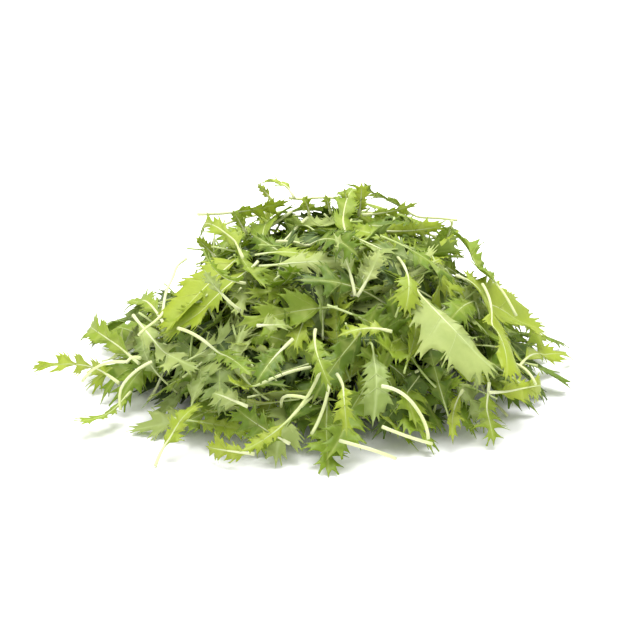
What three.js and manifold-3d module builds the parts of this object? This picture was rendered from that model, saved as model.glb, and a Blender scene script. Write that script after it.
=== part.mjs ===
import * as THREE from "three";
import { mergeVertices } from "three/addons/utils/BufferGeometryUtils.js";
import Module from "manifold-3d";

// A loose heap of cut mizuna leaves on a table, +Z up, in millimetres. The origin is on the table under the
// heap's middle, and -Y is its front. Leaves are laid one after another, each over all that lies there
// already.

// Driving dimensions: the outline that the finished heap fills, as a flat-topped hill on a wider and lower
// mound, both squarish from above. The core has shares of their width, height and roundness.
const HILL = { x: 10, halfWidth: 118, halfDepth: 118, height: 115, roundness: 5 };
const MOUND = { x: 6, halfWidth: 165, halfDepth: 150, height: 70, roundness: 4 };
const SQUARENESS = 2.4;
const WHOLE = { wide: 1, high: 1, round: 1 };
const CORE = { wide: 0.8, high: 0.8, round: 0.55 };
const FOOT_LEAVES = 30;
const INNER_LEAVES = 86;
const STALK_HALF_WIDTH = 1.1;
const STALK_HALF_THICKNESS = 0.95;
const RIM_HALF_THICKNESS = 0.35;
// What is left of the blade on a bare stalk
const NO_BLADE = 0.001;
const LAYING_GAP = 0.8;
const ROOT_DEPTH = 14;

// Seeds: one for all inner leaves, and the steps from it to the seed of each other leaf, which are counted on
// unless the leaf's row says otherwise. The loose leaves have these steps.
const SEED = 20389;
const SEED_STEP = 7919;
const SPARE_LEAVES = [91, 92, 93, 94, 100, 96, 97];

// How far a leaf lets itself be bent by what lies under it, along and across its rib, and how closely
const BEND_ALONG = 1 / 130;
const BEND_ACROSS = 1 / 60;
const CLOSENESS = 0.8;
const STEEPEST = 1.4;

// Where a leaf's first lobe starts and how much of the blade the lobes take, as shares of the blade
const FIRST_LOBE = 0.12;
const LOBED_SHARE = 0.62;

const wasm = await Module();
wasm.setup();

// Seeded draws, the same on every run
function seeded(seed) {
  let state = seed;
  return (low = 0, high = 1) => {
    state = (state * 48271) % 2147483647;
    return low + ((high - low) * state) / 2147483647;
  };
}

// The height that the finished heap is meant to have above a point of the table, or that its core has
function heapHeight(x, y, { wide, high, round } = WHOLE) {
  const heights = [HILL, MOUND].map((part) => {
    const across = Math.abs((x - part.x) / (wide * part.halfWidth)) ** SQUARENESS;
    const deep = Math.abs(y / (wide * part.halfDepth)) ** SQUARENESS;
    return part.height * high * (1 - (across + deep) ** ((part.roundness * round) / SQUARENESS));
  });
  return Math.max(...heights);
}

// What has been laid so far, as the highest point over each small square of the table
const CELL = 2;
const CELLS = 240;
const ground = new Float64Array(CELLS * CELLS);
const bare = new Float64Array(CELLS * CELLS);

function cellOf(x) {
  return Math.min(CELLS - 2, Math.max(1, Math.floor(x / CELL) + CELLS / 2));
}

function topUnder(x, y) {
  const column = cellOf(x);
  const row = cellOf(y);
  let top = -Infinity;
  for (let i = column - 1; i <= column + 1; i++)
    for (let j = row - 1; j <= row + 1; j++) top = Math.max(top, ground[j * CELLS + i]);
  return top;
}

function raiseTop(x, y, z) {
  const cell = cellOf(y) * CELLS + cellOf(x);
  ground[cell] = Math.max(ground[cell], z);
}

function startGround() {
  for (let j = 0; j < CELLS; j++)
    for (let i = 0; i < CELLS; i++) {
      const x = (i - CELLS / 2 + 0.5) * CELL;
      const y = (j - CELLS / 2 + 0.5) * CELL;
      ground[j * CELLS + i] = Math.max(-LAYING_GAP, heapHeight(x, y, CORE));
    }
  bare.set(ground);
}

// One leaf's own shape, before it is laid. What is given by name takes the place of what is drawn.
function drawLeaf(draw, given = {}) {
  const leaf = {
    stalk: draw(20, 48),
    blade: draw(42, 66),
    left: draw(9, 16),
    right: draw(9, 16),
    cut: draw(0.5, 0.8),
    fan: draw(0.1, 0.6),
    bend: draw(-0.8, 0.8),
    fold: draw(-0.3, 0.55),
    twist: draw(-0.7, 0.7),
    wave: draw(1.5, 5),
    phase: draw(0, 2 * Math.PI),
    curl: draw(-14, 11),
    arch: draw(-4, 9),
    pitch: draw(-0.2, 0.2),
    roll: draw(-0.4, 0.4),
    lobes: 3,
    ...given,
  };
  if (given.from) placeSeen(leaf);
  return withLobes(leaf, draw);
}

// Lobes in pairs along the rib, as wedges that widen outwards: each has a vein's foot on the rib, a near and
// a far corner, and the notch that follows it. A shoulder ends the last stretch before the tip.
function withLobes(leaf, draw) {
  leaf.length = leaf.stalk + leaf.blade;
  leaf.veins = [];
  leaf.edges = { left: [], right: [] };
  if (!leaf.lobes) return leaf;
  const first = leaf.stalk + FIRST_LOBE * leaf.blade;
  const pitch = (LOBED_SHARE * leaf.blade) / leaf.lobes;
  for (let k = 0; k <= leaf.lobes; k++) leaf.veins.push(first + pitch * k);
  for (const side of ["left", "right"]) {
    const edge = leaf.edges[side];
    const width = leaf[side];
    edge.push({ s: first - 0.03 * leaf.blade, t: 1.2 + 0.1 * width });
    for (let k = 0; k < leaf.lobes; k++) {
      const foot = leaf.veins[k];
      const reach = width * (1 - leaf.fan * (1 - (k + 1) / leaf.lobes)) * draw(0.75, 1.15);
      const notch = { s: foot + pitch * draw(0.82, 0.94), t: reach * (1 - leaf.cut) * draw(0.85, 1.1) + 0.6 };
      const far = { s: foot + pitch * draw(0.95, 1.35), t: reach * draw(0.8, 1.05) };
      const near = { s: foot + pitch * draw(0.25, 0.6), t: reach * draw(0.75, 1) };
      far.s = Math.min(far.s, foot + (0.92 * far.t * (notch.s - foot)) / notch.t);
      near.s = Math.min(near.s, foot + (0.8 * near.t * (far.s - foot)) / far.t);
      edge.push(near, far, notch);
    }
    const last = leaf.veins[leaf.lobes];
    const rest = leaf.length - last;
    edge.push({ s: last + rest * draw(0.4, 0.75), t: width * draw(0.4, 0.7) });
  }
  return leaf;
}

// A leaf's point, s along the rib and t across it, in its own plane: the rib is an arc
function inPlane(leaf, s, t) {
  const turn = leaf.bend / leaf.length;
  const angle = turn * (s - leaf.length / 2);
  return [Math.sin(angle) / turn - t * Math.sin(angle), (1 - Math.cos(angle)) / turn + t * Math.cos(angle)];
}

// How far a leaf's point stands off its plane of itself
function relief(leaf, s, t) {
  const along = Math.max(0, (s - leaf.stalk) / leaf.blade);
  const across = t / (t > 0 ? leaf.left : leaf.right);
  return (
    leaf.arch * Math.sin((Math.PI * s) / leaf.length) +
    leaf.fold * Math.abs(t) +
    leaf.twist * t * along +
    leaf.wave * across * across * Math.sin(3 * Math.PI * along + leaf.phase + across) +
    leaf.curl * along * along
  );
}

// How far what lies under a leaf lifts it there: a soft maximum of parabolas, one over each support
function lift(leaf, s, t) {
  let sum = 0;
  for (const p of leaf.supports) {
    const sag = BEND_ALONG * (s - p.s) ** 2 + BEND_ACROSS * (t - p.t) ** 2;
    sum += Math.exp(CLOSENESS * (p.height - sag - leaf.highest));
  }
  return leaf.highest + Math.log(sum) / CLOSENESS;
}

// A leaf's point in the heap, offset along the leaf's normal
function inHeap(leaf, s, t, offset = 0) {
  const [u, v] = inPlane(leaf, s, t);
  const w = relief(leaf, s, t) + lift(leaf, s, t) + offset;
  const p = leaf.middle.clone();
  p.addScaledVector(leaf.alongAxis, u).addScaledVector(leaf.acrossAxis, v).addScaledVector(leaf.normal, w);
  p.z -= leaf.drop + leaf.rootDrop * Math.max(0, 1 - s / leaf.stalk) ** 2;
  return p;
}

// The leaf's key points, as [s, t] pairs: the stalk, the rib, the lobes' points and notches, and the tip
function stalkStations(leaf) {
  const steps = leaf.lobes ? 3 : 6;
  return Array.from({ length: steps + 1 }, (_, k) => (k / steps) * leaf.stalk);
}

function keyPoints(leaf) {
  const stalk = stalkStations(leaf).map((s) => [s, 0]);
  const rib = leaf.veins.map((s) => [s, 0]);
  const left = leaf.edges.left.map((p) => [p.s, p.t]);
  const right = leaf.edges.right.map((p) => [p.s, -p.t]);
  const tip = leaf.lobes ? [[leaf.length, 0]] : [];
  return [...stalk, ...rib, ...left, ...right, ...tip];
}

// One face of a leaf as triangles of [s, t] corners, anticlockwise seen from above
function faceTriangles(leaf) {
  const triangles = [];
  const stations = stalkStations(leaf);
  const w = STALK_HALF_WIDTH;
  for (let k = 0; k + 1 < stations.length; k++) {
    const [a, b] = [stations[k], stations[k + 1]];
    triangles.push([[a, -w], [b, -w], [b, w]], [[a, -w], [b, w], [a, w]]);
  }
  if (!leaf.lobes) return triangles;
  const foot = (k) => [leaf.veins[k], 0];
  triangles.push([[leaf.stalk, -w], foot(0), [leaf.stalk, w]]);
  for (const [side, sign] of [["left", 1], ["right", -1]]) {
    const lobes = leaf.edges[side].map((p) => [p.s, sign * p.t]);
    const edge = [[leaf.stalk, sign * w], ...lobes, [leaf.length, 0]];
    const add = (a, b, c) => triangles.push(sign > 0 ? [a, b, c] : [a, c, b]);
    add(foot(0), edge[1], edge[0]);
    for (let k = 0; k < leaf.lobes; k++) {
      for (const corner of [1, 2, 3]) add(foot(k), edge[3 * k + corner + 1], edge[3 * k + corner]);
      add(foot(k), foot(k + 1), edge[3 * k + 4]);
    }
    add(foot(leaf.lobes), edge[edge.length - 2], edge[edge.length - 3]);
    add(foot(leaf.lobes), edge[edge.length - 1], edge[edge.length - 2]);
  }
  return triangles;
}

function halfThickness(leaf, s, t) {
  if (s <= leaf.stalk + 1e-6) return STALK_HALF_THICKNESS;
  if (t !== 0 || s >= leaf.length) return RIM_HALF_THICKNESS;
  const along = (s - leaf.stalk) / leaf.blade;
  return STALK_HALF_THICKNESS + (RIM_HALF_THICKNESS - STALK_HALF_THICKNESS) * along;
}

// Even samples over a triangle, close enough together that no small square of the table is missed
const SAMPLE_STEP = 1.8;
function sampled([a, b, c], visit) {
  const longest = Math.max(a.distanceTo(b), b.distanceTo(c), c.distanceTo(a));
  const n = Math.ceil(longest / SAMPLE_STEP);
  const p = new THREE.Vector3();
  for (let i = 0; i <= n; i++)
    for (let j = 0; i + j <= n; j++) {
      p.copy(a).multiplyScalar((n - i - j) / n).addScaledVector(b, i / n).addScaledVector(c, j / n);
      visit(p);
    }
}

// A leaf's plane, given a point of it, the way its rib runs and how it rises across the rib
function setPlane(leaf, middle, along, across) {
  leaf.middle = middle;
  leaf.alongAxis = along.normalize();
  leaf.normal = new THREE.Vector3().crossVectors(along, across).normalize();
  leaf.acrossAxis = new THREE.Vector3().crossVectors(leaf.normal, leaf.alongAxis);
}

// The plane of a leaf whose middle is over (x, y) and whose tip points to heading, as what lies there slopes
function planeOver(leaf, x, y, heading) {
  const [hx, hy] = [Math.cos(heading), Math.sin(heading)];
  const spots = [];
  for (const share of [-0.42, -0.21, 0, 0.21, 0.42])
    for (const v of [-20, 0, 20]) {
      const u = share * leaf.length;
      spots.push({ u, v, z: topUnder(x + u * hx - v * hy, y + u * hy + v * hx) });
    }
  const mean = spots.reduce((sum, p) => sum + p.z, 0) / spots.length;
  const slope = (axis) => {
    const square = spots.reduce((sum, p) => sum + p[axis] ** 2, 0);
    return spots.reduce((sum, p) => sum + p[axis] * p.z, 0) / square;
  };
  const clamp = (value) => Math.min(STEEPEST, Math.max(-STEEPEST, value));
  const along = new THREE.Vector3(hx, hy, clamp(slope("u") + leaf.pitch));
  const across = new THREE.Vector3(-hy, hx, clamp(slope("v") + leaf.roll));
  setPlane(leaf, new THREE.Vector3(x, y, mean), along, across);
}

// Lays a leaf that has its plane on all that lies there already. If it is rooted, its stalk dips into the
// core.
function lay(leaf, { rooted = false } = {}) {
  leaf.drop = 0;
  leaf.rootDrop = 0;
  leaf.supports = keyPoints(leaf).map(([s, t]) => {
    const [u, v] = inPlane(leaf, s, t);
    const p = leaf.middle.clone().addScaledVector(leaf.alongAxis, u).addScaledVector(leaf.acrossAxis, v);
    return { s, t, height: (topUnder(p.x, p.y) - p.z) * leaf.normal.z - relief(leaf, s, t) };
  });
  leaf.highest = Math.max(...leaf.supports.map((p) => p.height));

  const laidPoint = ([s, t], side) => inHeap(leaf, s, t, side * halfThickness(leaf, s, t));
  const face = (side) => faceTriangles(leaf).map((corners) => corners.map((p) => laidPoint(p, side)));
  let clearance = Infinity;
  for (const corners of face(-1))
    sampled(corners, (p) => {
      clearance = Math.min(clearance, p.z - topUnder(p.x, p.y) - LAYING_GAP);
    });
  leaf.drop = clearance;
  if (rooted) {
    const root = inHeap(leaf, 0, 0);
    leaf.rootDrop = root.z - Math.max(ROOT_DEPTH / 4, heapHeight(root.x, root.y, CORE) - ROOT_DEPTH);
  }
  for (const corners of face(1)) sampled(corners, (p) => raiseTop(p.x, p.y, p.z));
  return leaf;
}

// A laid leaf as a closed body: an upper face, a lower face split alike, and the rim between them
function leafGeometry(leaf) {
  const points = [];
  const numbers = new Map();
  const number = ([s, t], side) => {
    const key = side + ":" + s.toFixed(5) + ":" + t.toFixed(5);
    if (!numbers.has(key)) {
      numbers.set(key, points.length / 3);
      points.push(...inHeap(leaf, s, t, side * halfThickness(leaf, s, t)).toArray());
    }
    return numbers.get(key);
  };
  const index = [];
  const rim = new Map();
  for (const triangle of faceTriangles(leaf)) {
    index.push(...triangle.map((p) => number(p, 1)));
    index.push(...triangle.map((p) => number(p, -1)).reverse());
    triangle.forEach((p, k) => {
      const q = triangle[(k + 1) % 3];
      const [forward, back] = [p + ">" + q, q + ">" + p];
      if (rim.has(back)) rim.delete(back);
      else rim.set(forward, [p, q]);
    });
  }
  for (const [p, q] of rim.values()) {
    const [a, b, c, d] = [number(p, 1), number(p, -1), number(q, -1), number(q, 1)];
    index.push(a, b, c, a, c, d);
  }
  return new THREE.BufferGeometry()
    .setAttribute("position", new THREE.Float32BufferAttribute(points, 3))
    .setIndex(index);
}

function toSolid(geometry) {
  const bare = geometry.clone();
  bare.deleteAttribute("normal");
  bare.deleteAttribute("uv");
  const merged = mergeVertices(bare, 1e-4);
  return new wasm.Manifold(
    new wasm.Mesh({
      numProp: 3,
      vertProperties: new Float32Array(merged.attributes.position.array),
      triVerts: new Uint32Array(merged.index.array),
    }),
  );
}

function toGeometry(solid) {
  const mesh = solid.getMesh();
  return new THREE.BufferGeometry()
    .setAttribute("position", new THREE.Float32BufferAttribute(mesh.vertProperties, 3))
    .setIndex(new THREE.BufferAttribute(mesh.triVerts, 1));
}

// The middle of the heap: leaves pressed together to one crumpled body, which the inner leaves grow out of
function coreGeometry() {
  const rings = 7;
  const segments = 24;
  const profile = [new THREE.Vector2(0, 0)];
  for (let k = 0; k <= rings; k++) profile.push(new THREE.Vector2(1 - k / rings, 0));
  const body = new THREE.LatheGeometry(profile, segments);
  body.rotateX(Math.PI / 2);
  const crumple = seeded(7);
  const dents = Array.from({ length: segments * (rings + 2) }, () => crumple(0, 0.1));
  const spots = body.attributes.position;
  for (let k = 0; k < spots.count; k++) {
    const ring = k % (rings + 2);
    const inBody = ring > 0 && ring <= rings;
    const segment = Math.floor(k / (rings + 2)) % segments;
    const dent = inBody ? 1 - dents[segment * (rings + 2) + ring] : 1;
    const [x, y] = [spots.getX(k), spots.getY(k)];
    const radius = Math.hypot(x, y);
    const foot = (Math.abs(x) ** SQUARENESS + Math.abs(y) ** SQUARENESS) ** (1 / SQUARENESS);
    const outward = radius ? (CORE.wide * radius) / foot : 0;
    const [wide, deep] = [x * outward * MOUND.halfWidth, y * outward * MOUND.halfDepth];
    spots.setX(k, wide * dent);
    spots.setY(k, deep * dent);
    if (ring > 1) spots.setZ(k, heapHeight(wide, deep, CORE) * dent);
  }
  return body;
}

// How much of the core or the table is still bare around a point, as a share
function bareness(x, y) {
  let count = 0;
  for (const i of [-14, 0, 14])
    for (const j of [-14, 0, 14]) {
      const cell = cellOf(y + j) * CELLS + cellOf(x + i);
      if (ground[cell] < bare[cell] + 0.5) count += 1;
    }
  return count / 9;
}

// A spot near the core's foot, at an even step from the one before, for a leaf that points outwards
function footSpot(draw, k) {
  const angle = (2 * Math.PI * (k + draw(-0.4, 0.4))) / FOOT_LEAVES;
  const radius = draw(0.7, 0.84);
  const x = MOUND.halfWidth * radius * Math.cos(angle);
  const y = MOUND.halfDepth * radius * Math.sin(angle);
  return { x, y, heading: angle + draw(-0.7, 0.7) };
}

// The spot, out of a few drawn, where the heap is most bare and furthest below its outline
function chooseSpot(draw, leaf, rooted) {
  let best = null;
  for (let tries = 0; tries < 16; ) {
    const angle = draw(0, 2 * Math.PI);
    const radius = Math.sqrt(draw()) * 0.8;
    const x = MOUND.halfWidth * radius * Math.cos(angle);
    const y = MOUND.halfDepth * radius * Math.sin(angle);
    const heading = angle + (rooted ? draw(-1.9, 1.9) : draw(-Math.PI, Math.PI));
    const back = 0.45 * leaf.length;
    const root = heapHeight(x - back * Math.cos(heading), y - back * Math.sin(heading), CORE);
    if (rooted && root < ROOT_DEPTH + 2) continue;
    tries += 1;
    const meant = heapHeight(x, y);
    const ahead = 0.22 * leaf.length;
    const open = bareness(x + ahead * Math.cos(heading), y + ahead * Math.sin(heading));
    const need = open + (meant - topUnder(x, y)) / (meant + 60);
    if (!best || need > best.need) best = { x, y, heading, need };
  }
  return best;
}

// The heap is measured in one view of its front: the eye's place, the point that it looks at, and the upward
// way in that view. A place in the view is [across, up] in millimetres from that point.
const VIEW = { eye: new THREE.Vector3(0, -1120, 471), centre: new THREE.Vector3(0, 0, 41) };
VIEW.up = new THREE.Vector3(0, VIEW.eye.z - VIEW.centre.z, -VIEW.eye.y).normalize();

// The point of the heap or of the table that is seen at a place in the view. It is searched on the heap's
// outline first, and then near there on what has been laid so far.
function seenAt([across, up]) {
  const ray = VIEW.centre.clone().addScaledVector(VIEW.up, up).sub(VIEW.eye);
  ray.x += across;
  const search = (from, to, height) => {
    let nearest = { gap: Infinity };
    for (let far = from; far < to && nearest.gap > 0; far += 0.0005) {
      const p = VIEW.eye.clone().addScaledVector(ray, far);
      const gap = p.z - Math.max(0, height(p.x, p.y));
      if (gap < nearest.gap) nearest = { gap, p, far };
    }
    return nearest;
  };
  const meant = search(0.75, 1.02, heapHeight);
  const laid = search(meant.far - 0.025, meant.far + 0.025, topUnder);
  return laid.gap > 0 ? meant.p : laid.p;
}

// Gives a leaf that is seen with its stalk's cut end at one place of the view and its tip at another the
// length and the plane for that
function placeSeen(leaf) {
  const [root, tip] = [seenAt(leaf.from), seenAt(leaf.to)];
  const middle = root.clone().add(tip).multiplyScalar(0.5);
  const step = 6;
  const outward = new THREE.Vector3(
    heapHeight(middle.x - step, middle.y) - heapHeight(middle.x + step, middle.y),
    heapHeight(middle.x, middle.y - step) - heapHeight(middle.x, middle.y + step),
    2 * step,
  );
  const along = tip.clone().sub(root);
  const length = (along.length() * (leaf.bend / 2)) / Math.sin(leaf.bend / 2);
  const across = new THREE.Vector3().crossVectors(outward, along).normalize();
  across.z += leaf.roll;
  setPlane(leaf, middle, along, across);
  middle.addScaledVector(leaf.acrossAxis, -(length / leaf.bend) * (1 - Math.cos(leaf.bend / 2)));
  if (leaf.lobes) {
    leaf.blade = length - leaf.stalk;
  } else {
    leaf.stalk = length - NO_BLADE;
    leaf.blade = NO_BLADE;
  }
}

// Colours
const TINTS = {
  deep: new THREE.MeshStandardMaterial({ color: 0x4f7a2c, roughness: 0.5, metalness: 0 }),
  green: new THREE.MeshStandardMaterial({ color: 0x6e9b35, roughness: 0.5, metalness: 0 }),
  bright: new THREE.MeshStandardMaterial({ color: 0x9dc02f, roughness: 0.5, metalness: 0 }),
  pale: new THREE.MeshStandardMaterial({ color: 0xa5bf72, roughness: 0.6, metalness: 0 }),
  stalk: new THREE.MeshStandardMaterial({ color: 0xdfe6a8, roughness: 0.45, metalness: 0 }),
};

// The leaves that are seen best from the front, from the table upwards: from is the stalk's cut end, to is
// the tip
const SEEN = [
  {
    name: "leaf_far_left", tint: "bright", from: [-140, -46], to: [-203, -36],
    stalk: 12, left: 7, right: 8, curl: 0, arch: 0, twist: 0,
  },
  {
    name: "leaf_small_right", tint: "bright", from: [139, -36], to: [178, -30],
    stalk: 12, left: 9, right: 9, lobes: 2,
  },
  {
    name: "leaf_left_foot", tint: "green", from: [-130, -62], to: [-167, -84],
    stalk: 8, left: 15, right: 13,
  },
  {
    name: "leaf_left_front", tint: "bright", from: [-116, -104], to: [-82, -64],
    stalk: 14, left: 12, right: 9,
  },
  {
    name: "leaf_curled_foot", tint: "bright", from: [-42, -93], to: [-72, -89],
    stalk: 4, left: 9, right: 9, lobes: 2,
  },
  {
    name: "leaf_dark_front", tint: "deep", from: [-20, -90], to: [-60, -64],
    stalk: 5, left: 15, right: 13, twist: 0.1,
  },
  { name: "stalk_foot_middle", tint: "stalk", from: [13, -86], to: [48, -98] },
  { name: "stalk_foot_right", tint: "stalk", from: [42, -82], to: [78, -94] },
  {
    name: "leaf_right_foot", tint: "green", from: [117, -50], to: [122, -92],
    stalk: 8, left: 15, right: 16,
  },
  {
    name: "leaf_right_low", tint: "bright", from: [116, -54], to: [148, -52],
    stalk: 6, left: 8, right: 8, lobes: 2,
  },
  { name: "stalk_right_low", tint: "stalk", from: [134, -37], to: [150, -51] },
  {
    name: "leaf_narrow_right", tint: "bright", from: [97, -56], to: [90, -93],
    stalk: 6, left: 6, right: 6, lobes: 2,
  },
  {
    name: "leaf_hanging_front", tint: "bright", from: [12, -40], to: [19, -84],
    stalk: 18, left: 9, right: 9,
  },
  {
    name: "leaf_front_foot", tint: "bright", from: [0, -39], to: [-57, -98],
    stalk: 46, left: 8, right: 7, bend: -0.8,
  },
  { name: "stalk_front", tint: "stalk", from: [7, -50], to: [-6, -82] },
  { name: "stalk_front_short", tint: "stalk", from: [-27, -65], to: [-8, -60] },
  {
    name: "leaf_pale_front", tint: "pale", from: [-49, -64], to: [-75, -54],
    stalk: 4, left: 9, right: 8, lobes: 2,
  },
  {
    name: "leaf_cut_stalk", tint: "bright", from: [-12, -48], to: [-69, -55],
    stalk: 44, left: 6, right: 6, lobes: 2,
  },
  {
    name: "leaf_left_tip", tint: "green", from: [-126, -38], to: [-164, -10],
    stalk: 12, left: 11, right: 10,
  },
  {
    name: "leaf_left_shoulder", tint: "green", from: [-104, -14], to: [-138, 16],
    stalk: 10, left: 11, right: 12,
  },
  {
    name: "leaf_left_pale", tint: "pale", from: [-123, -18], to: [-84, -37],
    stalk: 12, left: 12, right: 12,
  },
  { name: "stalk_left_low", tint: "stalk", from: [-116, -38], to: [-136, -72] },
  { name: "stalk_left_out", tint: "stalk", from: [-126, -30], to: [-161, -50] },
  {
    name: "leaf_left_bright", tint: "bright", from: [-50, 46], to: [-110, -15],
    stalk: 7, left: 13, right: 12, cut: 0.35,
  },
  { name: "stalk_left_high", tint: "stalk", from: [-97, 32], to: [-125, -28] },
  {
    name: "leaf_middle_left", tint: "green", from: [-99, -13], to: [-47, -48],
    stalk: 34, left: 12, right: 12,
  },
  {
    name: "leaf_dull_left", tint: "pale", from: [-54, -20], to: [-80, 6],
    stalk: 20, left: 9, right: 9, lobes: 2,
  },
  {
    name: "leaf_comb", tint: "bright", from: [-4, -3], to: [-16, -29],
    stalk: 5, left: 10, right: 10, lobes: 2, fan: 0.2,
  },
  { name: "leaf_middle", tint: "green", from: [-46, -5], to: [-66, 27], stalk: 6, left: 14, right: 14 },
  {
    name: "leaf_round_pale", tint: "pale", from: [-52, 10], to: [-26, 13],
    stalk: 3, left: 8, right: 8, lobes: 2, cut: 0.1,
  },
  {
    name: "leaf_middle_low", tint: "deep", from: [-20, -20], to: [-46, -52],
    stalk: 10, left: 14, right: 12,
  },
  { name: "leaf_middle_right", tint: "green", from: [-2, -14], to: [9, -52], stalk: 10, left: 9, right: 9 },
  { name: "leaf_yellow", tint: "bright", from: [50, -16], to: [12, -20], stalk: 5, left: 8, right: 9 },
  { name: "stalk_bent", tint: "stalk", from: [42, -55], to: [75, -92], bend: -1.5 },
  {
    name: "leaf_behind_kink", tint: "pale", from: [73, -17], to: [107, -46],
    stalk: 10, left: 9, right: 8, bend: -0.9,
  },
  {
    name: "leaf_big_pale", tint: "pale", from: [60, 12], to: [114, -56],
    stalk: 8, left: 5, right: 32, cut: 0.25, bend: 0.5,
  },
  {
    name: "leaf_right_corner", tint: "bright", from: [96, 22], to: [158, -18],
    stalk: 8, left: 24, right: 22, cut: 0.4,
  },
  {
    name: "leaf_right_bright", tint: "bright", from: [111, 20], to: [124, -50],
    stalk: 22, left: 17, right: 9, cut: 0.35,
  },
  {
    name: "leaf_upright_stalk", tint: "bright", from: [59, 56], to: [59, 2],
    stalk: 36, left: 12, right: 12, lobes: 2,
  },
  {
    name: "leaf_folded_pale", tint: "pale", from: [22, 16], to: [41, 49],
    stalk: 6, left: 8, right: 8, fold: 0.6,
  },
  { name: "stalk_middle", tint: "stalk", from: [3, 53], to: [-11, 37] },
  { name: "stalk_top_left", own: 43, tint: "stalk", from: [-50, 88], to: [-84, 76] },
  {
    name: "leaf_top_long", own: 46, tint: "green", from: [-22, 79], to: [91, 66],
    stalk: 50, left: 12, right: 12, bend: -0.3,
  },
  {
    name: "leaf_top_curl", own: 42, tint: "bright", from: [-20, 80], to: [-41, 100],
    stalk: 8, left: 6, right: 6, lobes: 2,
  },
  {
    name: "leaf_curled_left", own: 44, tint: "bright", from: [-58, 42], to: [-91, 60],
    stalk: 10, left: 8, right: 8,
  },
  {
    name: "leaf_top_upright", own: 45, tint: "green", from: [22, 62], to: [30, 98],
    stalk: 6, left: 10, right: 10,
  },
];

startGround();
const group = new THREE.Group();

function addLeaf(name, leaf, tint) {
  const mesh = new THREE.Mesh(leafGeometry(leaf), TINTS[tint]);
  mesh.name = name;
  group.add(mesh);
}

// The inner leaves, whose stalks grow out of the core
const drawInner = seeded(SEED);
let inner = toSolid(coreGeometry());
for (let k = 0; k < INNER_LEAVES; k++) {
  const widths = { left: drawInner(11, 17), right: drawInner(11, 17) };
  const leaf = drawLeaf(drawInner, { lobes: k % 2 ? 3 : 2, ...widths });
  const spot = k < FOOT_LEAVES ? footSpot(drawInner, k) : chooseSpot(drawInner, leaf, true);
  planeOver(leaf, spot.x, spot.y, spot.heading);
  lay(leaf, { rooted: true });
  inner = inner.add(toSolid(leafGeometry(leaf)));
}
const pieces = inner.simplify(0.01).decompose().sort((a, b) => b.volume() - a.volume());
const innerMesh = new THREE.Mesh(toGeometry(pieces[0]), TINTS.green);
innerMesh.name = "inner_leaves";
group.add(innerMesh);

SEEN.forEach((given, k) => {
  const draw = seeded(SEED + SEED_STEP * (given.own ?? k + 1));
  const leaf = drawLeaf(draw, { lobes: given.tint === "stalk" ? 0 : 3, ...given });
  lay(leaf);
  addLeaf(given.name, leaf, given.tint);
});

// Loose leaves elsewhere, where the heap is still low
SPARE_LEAVES.forEach((own, k) => {
  const draw = seeded(SEED + SEED_STEP * own);
  const leaf = drawLeaf(draw, { curl: draw(-8, 4), arch: draw(-2, 5) });
  const spot = chooseSpot(draw, leaf, false);
  planeOver(leaf, spot.x, spot.y, spot.heading);
  lay(leaf);
  addLeaf("leaf_loose_" + (k + 1), leaf, ["deep", "green", "bright"][k % 3]);
});

export default group;
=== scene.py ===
import math
from types import SimpleNamespace

import bpy
import numpy as np
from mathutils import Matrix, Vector
from mathutils.geometry import delaunay_2d_cdt


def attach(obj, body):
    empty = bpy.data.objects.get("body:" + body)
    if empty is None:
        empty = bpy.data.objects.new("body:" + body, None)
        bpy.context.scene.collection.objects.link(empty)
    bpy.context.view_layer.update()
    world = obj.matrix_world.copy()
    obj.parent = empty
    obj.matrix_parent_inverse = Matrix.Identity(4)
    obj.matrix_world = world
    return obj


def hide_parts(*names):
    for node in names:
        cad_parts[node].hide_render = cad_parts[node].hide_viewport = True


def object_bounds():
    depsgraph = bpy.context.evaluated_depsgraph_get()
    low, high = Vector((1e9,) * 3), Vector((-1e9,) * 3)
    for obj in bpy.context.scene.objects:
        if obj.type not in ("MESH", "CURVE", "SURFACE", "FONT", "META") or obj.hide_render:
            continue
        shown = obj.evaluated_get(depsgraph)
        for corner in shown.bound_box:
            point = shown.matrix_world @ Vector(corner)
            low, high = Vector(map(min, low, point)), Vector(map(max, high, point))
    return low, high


# A loose heap of cut mizuna leaves. Every leaf of the frame is laid again by the frame's own rule, in
# millimetres, and gets its fine form here: toothed lobes, raised rib and veins, a round stalk.

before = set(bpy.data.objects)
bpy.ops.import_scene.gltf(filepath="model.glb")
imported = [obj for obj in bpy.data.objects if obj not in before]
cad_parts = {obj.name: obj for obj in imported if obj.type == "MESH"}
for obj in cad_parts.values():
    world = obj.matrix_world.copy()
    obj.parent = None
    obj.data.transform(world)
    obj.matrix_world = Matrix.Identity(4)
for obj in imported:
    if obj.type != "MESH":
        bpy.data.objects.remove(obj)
cad_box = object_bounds()
MM = 0.001

# The frame's driving values, lengths in millimetres
HILL = SimpleNamespace(x=10, half_width=118, half_depth=118, height=115, roundness=5)
MOUND = SimpleNamespace(x=6, half_width=165, half_depth=150, height=70, roundness=4)
SQUARENESS = 2.4
WHOLE = (1, 1, 1)
CORE = (0.8, 0.8, 0.55)
FOOT_LEAVES = 30
INNER_LEAVES = 86
SPARE_LEAVES = [91, 92, 93, 94, 100, 96, 97]
SEED = 20389
SEED_STEP = 7919
FACTOR = 48271
MODULUS = 2147483647
STALK_HALF_WIDTH = 1.1
STALK_HALF_THICKNESS = 0.95
RIM_HALF_THICKNESS = 0.35
NO_BLADE = 0.001
LAYING_GAP = 0.8
ROOT_DEPTH = 14
BEND_ALONG = 1 / 130
BEND_ACROSS = 1 / 60
CLOSENESS = 0.8
STEEPEST = 1.4
CELL = 2
CELLS = 240
SAMPLE_STEP = 1.8
FIRST_LOBE = 0.12
LOBED_SHARE = 0.62
TRIES = 16
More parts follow.
